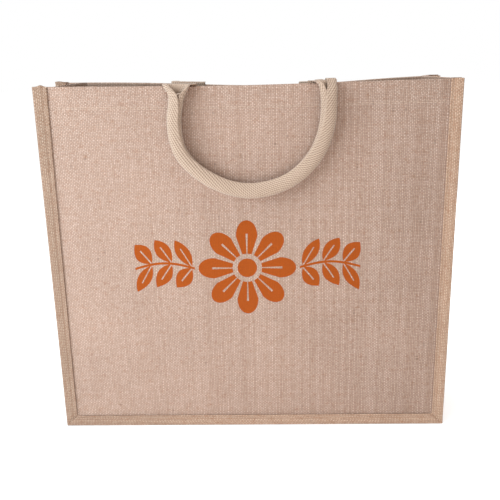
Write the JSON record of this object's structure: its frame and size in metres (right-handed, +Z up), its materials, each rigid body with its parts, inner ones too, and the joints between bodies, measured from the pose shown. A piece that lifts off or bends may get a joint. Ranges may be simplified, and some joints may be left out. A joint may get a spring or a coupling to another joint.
{
  "type": "burlap shopping bag",
  "caption": "Open-topped woven jute shopping bag with side gussets, bound seams and rolled webbing handles hanging from its rim.",
  "frame": {"origin": "middle of the underside of the bag's bounding box", "axes": "+X along the bag's width, the front panel faces -Y, +Z up to the open rim"},
  "size_m": [0.43, 0.1316, 0.3873],
  "materials": {
    "jute": "plain-woven, laminated, matt",
    "jute_tape": "plain-woven, matt",
    "cotton_webbing": "herringbone webbing, matt"
  },
  "bodies": {
    "root": {"front_panel": "jute", "back_panel": "jute", "side_and_base_strip": "jute", "front_binding": "jute_tape", "back_binding": "jute_tape", "front_handle": "cotton_webbing", "rear_handle": "cotton_webbing"}
  },
  "joints": []
}
